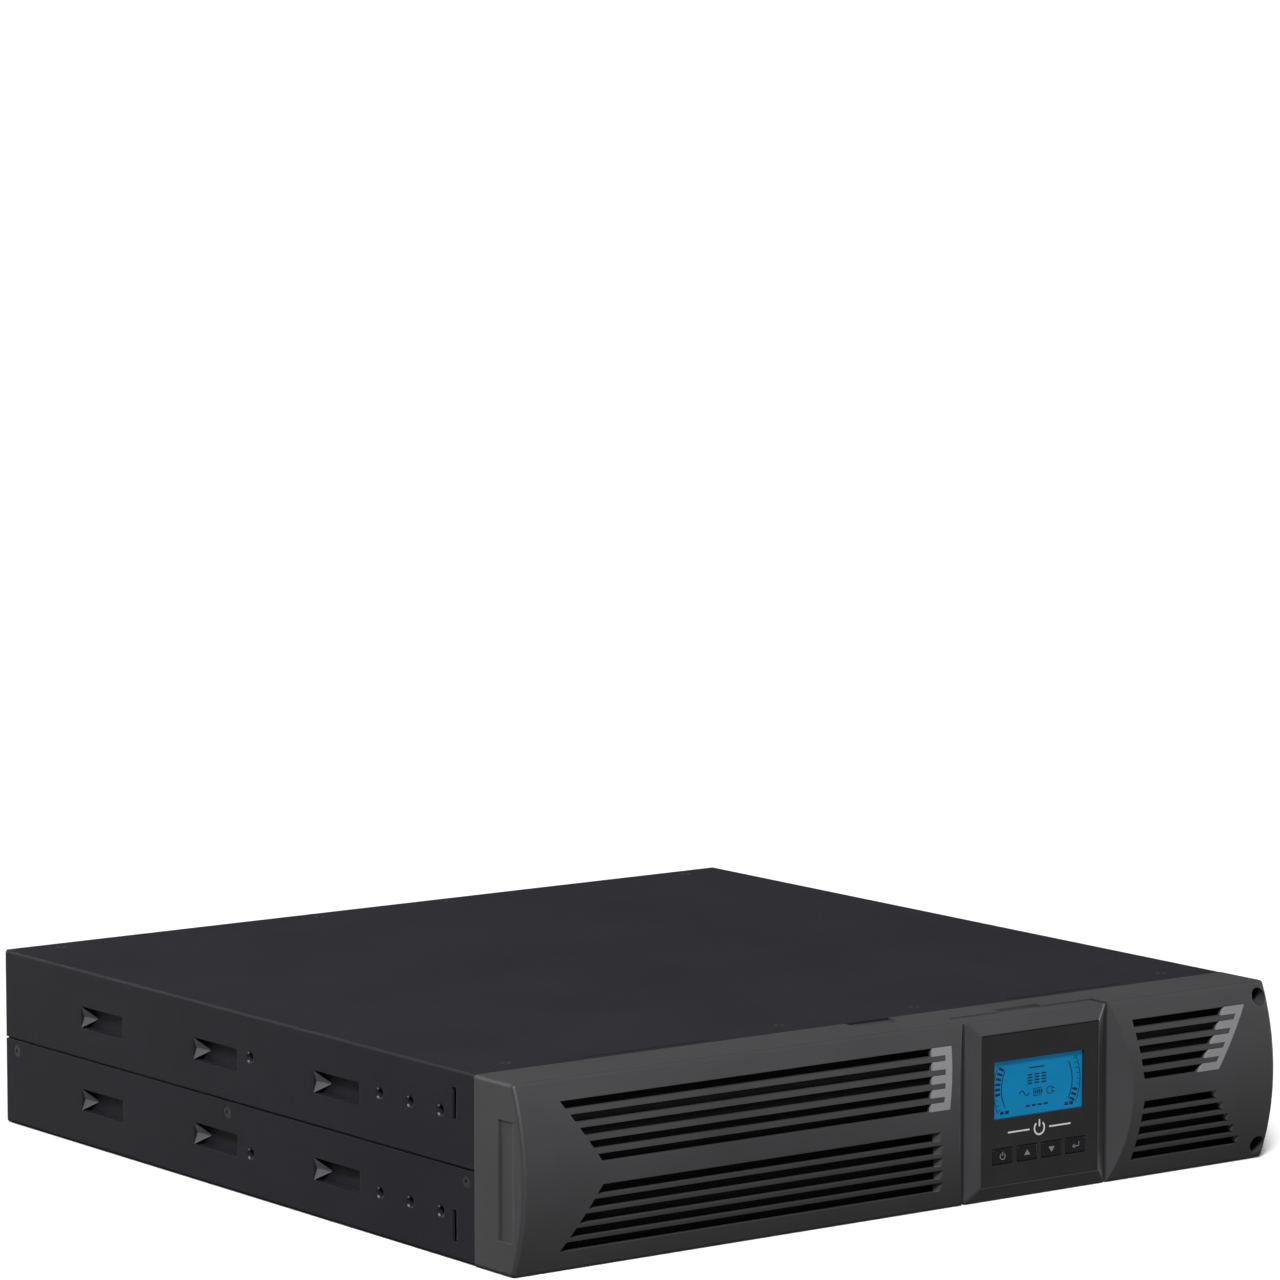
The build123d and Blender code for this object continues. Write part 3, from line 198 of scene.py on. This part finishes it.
def brushed(name, colour, rough=0.35, stretch=(900, 30, 900)):
    """Rolled or brushed metal with fine lines along Y."""
    material = new_material(name, colour, metallic=1.0)
    lines = noise(material, 1.0, 4.0, 0.7, stretch)
    wire(material, spread(material, lines, rough - 0.12, rough + 0.12),
         shader_of(material).inputs["Roughness"])
    shade = tuple(c * 0.8 for c in colour)
    vary_colour(material, spread(material, noise(material, 40.0)), shade, colour)
    bump(material, lines, 0.00002, 0.5, round_edges(material, 0.0002))
    return material


def gloss(name, colour, rough=0.08, specular=0.35):
    """Polished moulding with very slight waviness."""
    material = new_material(name, colour, rough, specular=specular)
    waves = noise(material, 60.0, 2.0)
    wire(material, spread(material, waves, rough * 0.7, rough * 1.6),
         shader_of(material).inputs["Roughness"])
    vary_colour(material, spread(material, waves),
                tuple(c * 0.85 for c in colour), colour)
    bump(material, waves, 0.00002, 0.2, round_edges(material, 0.0003))
    return material


def woven(name, dark, light, pitch=0.0009):
    """Open woven mesh: two crossed waves."""
    material = new_material(name, light, 0.8, specular=0.15)
    turns = pi / pitch
    height = None
    for axis in (0, 2):
        separate = add_node(material, "ShaderNodeSeparateXYZ")
        wire(material, object_coords(material), separate.inputs["Vector"])
        scaled = add_node(material, "ShaderNodeMath", operation="MULTIPLY")
        scaled.inputs[1].default_value = turns
        wire(material, separate.outputs[axis], scaled.inputs[0])
        wave = add_node(material, "ShaderNodeMath", operation="SINE")
        wire(material, scaled.outputs[0], wave.inputs[0])
        size = add_node(material, "ShaderNodeMath", operation="ABSOLUTE")
        wire(material, wave.outputs[0], size.inputs[0])
        if height is None:
            height = size.outputs[0]
        else:
            smaller = add_node(material, "ShaderNodeMath", operation="MINIMUM")
            wire(material, height, smaller.inputs[0])
            wire(material, size.outputs[0], smaller.inputs[1])
            height = smaller.outputs[0]
    vary_colour(material, height, light, dark)
    bump(material, height, -0.0003, 0.8)
    return material


def screen_blue():
    """Backlit LCD: blue with a faint random variation in its colour and glow."""
    material = new_material("lcd_blue", (0.003, 0.16, 0.36), 0.25, specular=0.3)
    glow = noise(material, 22.0, 2.0)
    ramp = vary_colour(material, spread(material, glow),
                       (0.001, 0.165, 0.35), (0.003, 0.20, 0.41))
    wire(material, ramp.outputs["Color"], shader_of(material).inputs["Emission Color"])
    shader_of(material).inputs["Emission Strength"].default_value = 0.55
    return material


def clear_glass():
    material = new_material("clear_window", (0.01, 0.03, 0.05), 0.05, specular=0.3)
    shader = shader_of(material)
    shader.inputs["Alpha"].default_value = 0.14
    smudge = noise(material, 90.0, 3.0)
    wire(material, spread(material, smudge, 0.03, 0.09), shader.inputs["Roughness"])
    return material


def circuit_board():
    """Green solder mask with straight track-like patches."""
    material = new_material("circuit_board", (0.02, 0.12, 0.05), 0.3, specular=0.45)
    cells = add_node(material, "ShaderNodeTexBrick")
    cells.inputs["Scale"].default_value = 120.0
    cells.inputs["Color1"].default_value = (0.012, 0.085, 0.035, 1.0)
    cells.inputs["Color2"].default_value = (0.020, 0.130, 0.050, 1.0)
    cells.inputs["Mortar"].default_value = (0.035, 0.20, 0.08, 1.0)
    wire(material, object_coords(material), cells.inputs["Vector"])
    wire(material, cells.outputs["Color"], shader_of(material).inputs["Base Color"])
    return material


coat = grained("powder_coat", (0.0125, 0.0118, 0.0155), (0.0155, 0.0147, 0.0190),
               (0.46, 0.62), 1500.0, 0.00007, 0.0005, 0.06)
# Painted highlight: a paler colour on the pocket ramps that face forward and sideways
paint_ramp_highlight(coat, (0.20, 0.20, 0.205))
bezel_mould = grained("bezel_plastic", (0.032, 0.032, 0.0338), (0.040, 0.040, 0.0422),
                      (0.42, 0.56), 3600.0, 0.00003, 0.0004, 0.30)
bay_mould = grained("display_frame_plastic", (0.033, 0.033, 0.0352), (0.041, 0.041, 0.0437),
                    (0.34, 0.46), 4200.0, 0.00002, 0.0004, 0.35)
# The silver on the comb accents at the upper grille ends is a painted highlight, standing in for
# light caught by the ramps at the slot ends
silver = grained("silver_trim", (0.15, 0.15, 0.155), (0.20, 0.20, 0.205),
                 (0.32, 0.44), 4800.0, 0.00001, 0.0002, 0.5)
inner_mould = grained("inner_plastic", (0.012, 0.012, 0.013), (0.022, 0.022, 0.023),
                      (0.45, 0.65), 2600.0)
key_mould = grained("key_plastic", (0.006, 0.006, 0.007), (0.010, 0.010, 0.011),
                    (0.22, 0.34), 5200.0, 0.00001, 0.0003, 0.3)
black_oxide = grained("black_screw", (0.004, 0.004, 0.0045), (0.010, 0.010, 0.011),
                      (0.35, 0.55), 3000.0, 0.00002, 0.0002, 0.3)
battery_mould = grained("battery_case", (0.05, 0.05, 0.055), (0.08, 0.08, 0.085),
                        (0.45, 0.6), 1800.0)
core_iron = grained("core_steel", (0.07, 0.06, 0.05), (0.13, 0.12, 0.10),
                    (0.5, 0.7), 500.0, 0.0002)
winding_tape = grained("winding", (0.28, 0.11, 0.03), (0.42, 0.20, 0.06),
                       (0.3, 0.5), 300.0, 0.0002)
sleeve = gloss("sleeve", (0.02, 0.03, 0.10), 0.2)
lens_black = gloss("gloss_black", (0.021, 0.0205, 0.0215), 0.08, 0.28)
socket_black = gloss("socket_black", (0.012, 0.012, 0.013), 0.28, 0.35)
button_black = gloss("reset_button", (0.015, 0.015, 0.016), 0.2, 0.5)
zinc = brushed("plated_steel", (0.62, 0.62, 0.64))
aluminium = brushed("sink_aluminium", (0.75, 0.75, 0.77), 0.4)
brass = brushed("brass", (0.80, 0.60, 0.28), 0.28)
mesh_weave = woven("filter_mesh", (0.002, 0.002, 0.002), (0.010, 0.010, 0.010))
lcd_blue = screen_blue()
window_glass = clear_glass()

SLOT_MATERIALS = {
    "powder_coat": coat, "bezel_plastic": bezel_mould, "silver_trim": silver,
    "filter_mesh": mesh_weave, "black_screw": black_oxide, "plated_steel": zinc,
    "gloss_black": socket_black, "clear_window": window_glass, "lcd_blue": lcd_blue,
    "inner_plastic": inner_mould, "key_plastic": key_mould, "battery_case": battery_mould,
    "brass": brass, "core_steel": core_iron, "winding": winding_tape,
    "sink_aluminium": aluminium, "sleeve": sleeve, "reset_button": button_black,
    "circuit_board": circuit_board(),
}


NODE_MATERIALS = {"display_frame": bay_mould, "display_lens": lens_black}
slots = {part["node"]: part["material_slot"] for part in frame["record"]["subparts"]}
for name, node in frame["nodes"].items():
    node.data.materials.clear()
    node.data.materials.append(NODE_MATERIALS.get(name) or SLOT_MATERIALS[slots[name]])


# ---- flat artwork on the display ----------------------------------------------------------
def ink(name, dark, light, rough=0.5, scale=3000.0):
    """Screen-printed ink with a fine speckle."""
    material = new_material(name, light, rough)
    vary_colour(material, spread(material, noise(material, scale)), dark, light)
    return material


WHITE = ink("white_ink", (0.46, 0.47, 0.49), (0.60, 0.61, 0.63))
GREY = ink("grey_ink", (0.12, 0.13, 0.14), (0.20, 0.21, 0.22))
SEGMENT = ink("lcd_segment", (0.002, 0.022, 0.07), (0.003, 0.03, 0.09), 0.3, 2500.0)
PRINT = 0.06 * MM
SIGN_DROP = 46.8 * MM   # top of the lens to the middle of the power sign


def strip(mesh, points, width, closed=False):
    """Flat ribbon of constant width along a line of points in X and Z."""
    count = len(points)
    pairs = []
    for i, point in enumerate(points):
        before = points[(i - 1) % count] if closed or i > 0 else point
        after = points[(i + 1) % count] if closed or i < count - 1 else point
        along = Vector((after[0] - before[0], after[1] - before[1])).normalized()
        side = Vector((-along.y, along.x)) * width / 2
        pairs.append((mesh.verts.new((point[0] + side.x, 0, point[1] + side.y)),
                      mesh.verts.new((point[0] - side.x, 0, point[1] - side.y))))
    for i in range(count if closed else count - 1):
        a, b = pairs[i], pairs[(i + 1) % count]
        mesh.faces.new((a[0], b[0], b[1], a[1]))


def patch(mesh, points):
    """Flat filled outline in X and Z."""
    mesh.faces.new([mesh.verts.new((x, 0, z)) for x, z in points])


def bar(mesh, x, z, width, height):
    w, h = width / 2, height / 2
    patch(mesh, [(x - w, z - h), (x + w, z - h), (x + w, z + h), (x - w, z + h)])


def arc_points(x, z, radius, start, stop, steps=20):
    """Points along an arc, angles in degrees from +X towards +Z."""
    angles = [radians(start + (stop - start) * i / steps) for i in range(steps + 1)]
    return [(x + radius * cos(a), z + radius * sin(a)) for a in angles]


def artwork(name, draw, node, z, material, body):
    """Raised print in front of a CAD node's front face; draw() fills a mesh in millimetres."""
    mesh = bmesh.new()
    draw(mesh)
    bmesh.ops.remove_doubles(mesh, verts=mesh.verts, dist=1e-5)
    bmesh.ops.recalc_face_normals(mesh, faces=mesh.faces)
    for face in mesh.faces:
        if face.normal.y > 0:
            face.normal_flip()
    mesh.transform(Matrix.Scale(MM, 4))
    low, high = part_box(node)
    piece = link_mesh(name, mesh, material)
    piece.location = ((low.x + high.x) / 2, low.y - PRINT, z)
    thicken = piece.modifiers.new("thickness", "SOLIDIFY")
    thicken.thickness = PRINT
    thicken.offset = -1.0
    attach(piece, body)
    return piece


def gauge(mesh, side, lit):
    """Curved level scale: an arc, its ticks and a stack of lit bars; side is -1 left, 1 right."""
    turn = 0 if side > 0 else 180
    centre = side * 4.0
    for radius, width in ((17.5, 0.5), (22.3, 0.35)):
        strip(mesh, arc_points(centre, 0, radius, turn - 30, turn + 30, 20), width)
    ticks = 9
    for n in range(ticks):
        a = radians(turn + 28 - 7 * n)
        near, far, width = (18.3, 21.4, 1.15) if n >= ticks - lit else (20.6, 21.6, 0.4)
        strip(mesh, [(centre + r * cos(a), r * sin(a)) for r in (near, far)], width)


def draw_lcd(mesh):
    """Generic read-out: curved scales, stacks of bars, a mains wave, a battery and a plug."""
    gauge(mesh, -1, 6)
    gauge(mesh, 1, 3)
    for stack in (-1, 0, 1):
        for level in range(4):
            bar(mesh, 4.2 * stack, 0.9 + 1.35 * level, 2.8, 0.7)
    bar(mesh, 0, 8.2, 9, 0.6)
    strip(mesh, [(-10.6 + 0.5 * i, -3.4 + 1.2 * sin(i * pi / 6)) for i in range(13)], 0.5)
    strip(mesh, [(-2.0, -5.2), (2.6, -5.2), (2.6, -1.8), (-2.0, -1.8)], 0.4, closed=True)
    bar(mesh, 3.1, -3.5, 0.6, 1.5)
    for n in range(3):
        bar(mesh, -1.0 + 1.3 * n, -3.5, 0.8, 2.0)
    plug = arc_points(7.6, -3.5, 1.6, 90, 270, 12) + [(9.2, -5.1), (9.2, -1.9)]
    strip(mesh, plug, 0.4, closed=True)
    bar(mesh, 10.0, -2.7, 1.4, 0.45)
    bar(mesh, 10.0, -4.3, 1.4, 0.45)
    for side in (-1, 1):
        for n in range(2):
            bar(mesh, side * (18.0 + 3.0 * n), -11.2, 2.2, 1.5)
    for n in range(4):
        bar(mesh, -5.4 + 3.6 * n, -9.6, 2.4, 0.9)


def draw_power_sign(mesh):
    """Plain standby ring between two short rules."""
    strip(mesh, arc_points(0, 0, 3.0, 130, 410, 28), 0.8)
    bar(mesh, 0, 2.4, 0.8, 3.4)
    for side in (-1, 1):
        bar(mesh, side * 12.5, 0, 13, 0.7)


def draw_ring(mesh):
    strip(mesh, arc_points(0, 0, 1.5, 125, 415, 24), 0.42)
    bar(mesh, 0, 1.2, 0.42, 1.8)


def draw_up(mesh):
    patch(mesh, [(-1.8, -1.1), (1.8, -1.1), (0, 1.5)])


def draw_down(mesh):
    patch(mesh, [(-1.8, 1.1), (0, -1.5), (1.8, 1.1)])


def draw_enter(mesh):
    strip(mesh, [(1.9, 1.5), (1.9, -0.5), (-1.2, -0.5)], 0.45)
    patch(mesh, [(-2.2, -0.5), (-0.7, 0.55), (-0.7, -1.55)])


def middle_z(node):
    low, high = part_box(node)
    return (low.z + high.z) / 2


lcd_z = middle_z("lcd_panel")
artwork("lcd_segments", draw_lcd, "lcd_panel", lcd_z, SEGMENT, "display")
sign_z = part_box("display_lens")[1].z - SIGN_DROP
artwork("power_sign", draw_power_sign, "display_lens", sign_z, WHITE, "display")
for number, draw in enumerate((draw_ring, draw_up, draw_down, draw_enter), 1):
    key = f"display_key_{number}"
    artwork(f"key_icon_{number}", draw, key, middle_z(key), GREY, f"key_{number}")


# ---- connector contacts on the rear panel --------------------------------------------------
def cuboids(name, boxes, material, body, soften=0.0):
    """One mesh of several boxes given by low and high corners in metres, with rounded edges."""
    mesh = bmesh.new()
    for low, high in boxes:
        made = bmesh.ops.create_cube(mesh, size=1.0)["verts"]
        size = Vector(high) - Vector(low)
        centre = (Vector(high) + Vector(low)) / 2
        place = Matrix.Translation(centre) @ Matrix.Diagonal((*size, 1))
        bmesh.ops.transform(mesh, verts=made, matrix=place)
    piece = link_mesh(name, mesh, material)
    if soften:
        rounding = piece.modifiers.new("rounding", "BEVEL")
        rounding.width = soften
        rounding.segments = 3
    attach(piece, body)
    return piece


def jack_contacts():
    """Eight spring wires in each network jack."""
    low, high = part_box("network_jacks")
    middle_x = (low.x + high.x) / 2
    centre_z = (low.z + high.z) / 2
    boxes = []
    for side in (-1, 1):
        z = centre_z + side * 7 * MM
        for n in range(8):
            x = middle_x + (n - 3.5) * 1.02 * MM
            boxes.append(((x - 0.22 * MM, high.y - 11 * MM, z + 2.6 * MM),
                          (x + 0.22 * MM, high.y - 3 * MM, z + 3.1 * MM)))
    return cuboids("jack_contacts", boxes, brass, "chassis", 0.00008)


def usb_contacts():
    """Four flat contacts on the USB tongue."""
    low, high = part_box("usb_port")
    x, z = (low.x + high.x) / 2, (low.z + high.z) / 2
    boxes = []
    for level in (-1, 1):
        for side in (-1, 1):
            at = x + side * 1.25 * MM
            edge = z + level * 1.45 * MM
            boxes.append(((at - 0.5 * MM, high.y - 9.5 * MM, edge - 0.12 * MM),
                          (at + 0.5 * MM, high.y - 5.4 * MM, edge + 0.12 * MM)))
    return cuboids("usb_contacts", boxes, brass, "chassis", 0.00005)


def outlet_contacts():
    """Three sprung leaves inside each outlet's slots."""
    low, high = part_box("outlet_cores")
    across, up = 38 * MM, 32 * MM
    half_x = 11.7 * MM
    boxes = []
    for column in range(4):
        for row in range(2):
            x = low.x + half_x + column * across
            z = low.z + 7.95 * MM + row * up
            for dx, dz in ((-7, -1.5), (7, -1.5), (0, 2.5)):
                for side in (-1, 1):
                    at = x + dx * MM + side * 0.85 * MM
                    boxes.append(((at - 0.2 * MM, high.y - 9.5 * MM, z + (dz - 2.2) * MM),
                                  (at + 0.2 * MM, high.y - 1.5 * MM, z + (dz + 2.2) * MM)))
    return cuboids("outlet_contacts", boxes, brass, "chassis", 0.00008)


HUB = 12.3 * MM
BLADE_TIP = 27.5 * MM
BLADES = 7


def draw_hub(mesh, x, z, front, rear):
    """Cup hub, turned from its profile; the edge of its closed end is rounded."""
    profile = [(0.0, rear), (HUB - 0.0014, rear), (HUB - 0.0004, rear - 0.0004),
               (HUB, rear - 0.0014), (HUB, front), (HUB - 0.0012, front),
               (HUB - 0.0012, rear - 0.0030), (0.0, rear - 0.0030)]
    steps = 48
    rings = []
    for radius, y in profile:
        rings.append([mesh.verts.new((x + radius * cos(2 * pi * n / steps), y,
                                      z + radius * sin(2 * pi * n / steps))) for n in range(steps)])
    for inner, outer in zip(rings, rings[1:]):
        for n in range(steps):
            m = (n + 1) % steps
            mesh.faces.new((inner[n], inner[m], outer[m], outer[n]))
    bmesh.ops.remove_doubles(mesh, verts=mesh.verts, dist=1e-6)


def draw_blade(mesh, x, z, front, rear, start):
    """One closed blade, twisted and cambered, from inside the hub to its tip."""
    middle = (front + rear) / 2
    spans, chords = 10, 12
    sides = []
    for face in (-1, 1):
        rows = []
        for i in range(spans + 1):
            t = i / spans
            radius = HUB - 0.0004 + t * (BLADE_TIP - HUB)
            pitch = radians(50 - 22 * t)
            chord = (15.5 + 4.5 * t) * MM
            row = []
            for j in range(chords + 1):
                u = j / chords - 0.5
                camber = 0.0016 * (1 - 4 * u * u)
                half = face * 0.00055 * (1 - 3.2 * u * u)
                along, lift = u * chord, camber + half
                turn = start + 0.30 * t + (along * cos(pitch) - lift * sin(pitch)) / radius
                y = middle + along * sin(pitch) + lift * cos(pitch)
                row.append(mesh.verts.new((x + radius * cos(turn), min(max(y, front), rear),
                                           z + radius * sin(turn))))
            rows.append(row)
        sides.append(rows)
    for rows in sides:
        for a, b in zip(rows, rows[1:]):
            for j in range(chords):
                mesh.faces.new((a[j], a[j + 1], b[j + 1], b[j]))
    under, over = sides
    for j in range(chords):
        for i in (0, spans):
            mesh.faces.new((under[i][j], under[i][j + 1], over[i][j + 1], over[i][j]))
    for i in range(spans):
        for j in (0, chords):
            mesh.faces.new((under[i][j], under[i + 1][j], over[i + 1][j], over[i][j]))


def fan_wheel(number):
    """Moulded impeller in place of the CAD's plain rotor."""
    name = f"fan_rotor_{number}"
    low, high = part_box(name)
    x, z = (low.x + high.x) / 2, (low.z + high.z) / 2
    front, rear = low.y, high.y - 2.6 * MM
    mesh = bmesh.new()
    draw_hub(mesh, x, z, front, rear)
    for blade in range(BLADES):
        draw_blade(mesh, x, z, front, rear, 2 * pi * blade / BLADES)
    bmesh.ops.recalc_face_normals(mesh, faces=mesh.faces)
    for face in mesh.faces:
        face.smooth = True
    wheel = link_mesh(f"fan_wheel_{number}", mesh, inner_mould)
    wheel.data.set_sharp_from_angle(angle=radians(40))
    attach(wheel, f"fan_{number}")
    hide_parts(name)


outlet_contacts()
fan_wheel(1)
fan_wheel(2)
jack_contacts()
usb_contacts()


# ---- floor, light and camera ----------------------------------------------------------------
FLOOR_HALF = 400.0
CAMERA_PLACE = (-1.7062, -2.3122, 0.5858)
CAMERA_AZIMUTH, CAMERA_ELEVATION = -36.55, 6.77
LENS = 169.0


def floor():
    """Wide pale floor just under the part; this camera doesn't see its far edge."""
    mesh = bmesh.new()
    bmesh.ops.create_grid(mesh, x_segments=2, y_segments=2, size=FLOOR_HALF)
    paper = new_material("floor_paper", (0.95, 0.95, 0.95), 0.9, specular=0.05)
    plane = link_mesh("floor", mesh, paper)
    plane.location.z = -0.0003
    plane.visible_diffuse = False
    plane.visible_glossy = False


def light(name, kind, strength):
    data = bpy.data.lights.new(name, kind)
    data.energy = strength
    lamp = bpy.data.objects.new(name, data)
    bpy.context.scene.collection.objects.link(lamp)
    return lamp


def sun(name, direction, strength, softness):
    """Soft distant light; direction points from the object to the light."""
    lamp = light(name, "SUN", strength)
    lamp.data.angle = radians(softness)
    lamp.rotation_euler = Vector(direction).to_track_quat("Z", "Y").to_euler()


def panel(name, place, target, size, power):
    """Square soft panel that isn't itself in the picture."""
    lamp = light(name, "AREA", power)
    lamp.data.size = size
    lamp.location = place
    lamp.rotation_euler = (Vector(target) - Vector(place)).to_track_quat("-Z", "Y").to_euler()
    lamp.visible_camera = False


def camera(position, azimuth, elevation, lens):
    """Camera at a place, turned to azimuth and elevation in degrees."""
    data = bpy.data.cameras.new("camera")
    data.lens = lens
    data.sensor_width = 36.0
    data.clip_end = 200.0
    holder = bpy.data.objects.new("camera", data)
    bpy.context.scene.collection.objects.link(holder)
    a, e = radians(azimuth), radians(elevation)
    back = Vector((sin(a) * cos(e), -cos(a) * cos(e), sin(e)))
    holder.location = position
    holder.rotation_euler = back.to_track_quat("Z", "Y").to_euler()
    bpy.context.scene.camera = holder


floor()
sun("key", (-0.46, -0.54, 0.70), 3.6, 12)
sun("rear_fill", (-0.10, 0.95, 0.12), 2.4, 40)
sun("right_fill", (0.95, -0.10, 0.15), 1.6, 40)
panel("left_panel", (-0.70, -0.80, 0.66), (-0.1, -0.2, 0.04), 0.4, 5.0)
world = bpy.data.worlds.new("studio")
world.use_nodes = True
background = world.node_tree.nodes["Background"]
background.inputs["Color"].default_value = (1.0, 1.0, 1.0, 1.0)
background.inputs["Strength"].default_value = 0.16
bpy.context.scene.world = world
bpy.context.scene.view_settings.view_transform = "Standard"
camera(CAMERA_PLACE, CAMERA_AZIMUTH, CAMERA_ELEVATION, LENS)
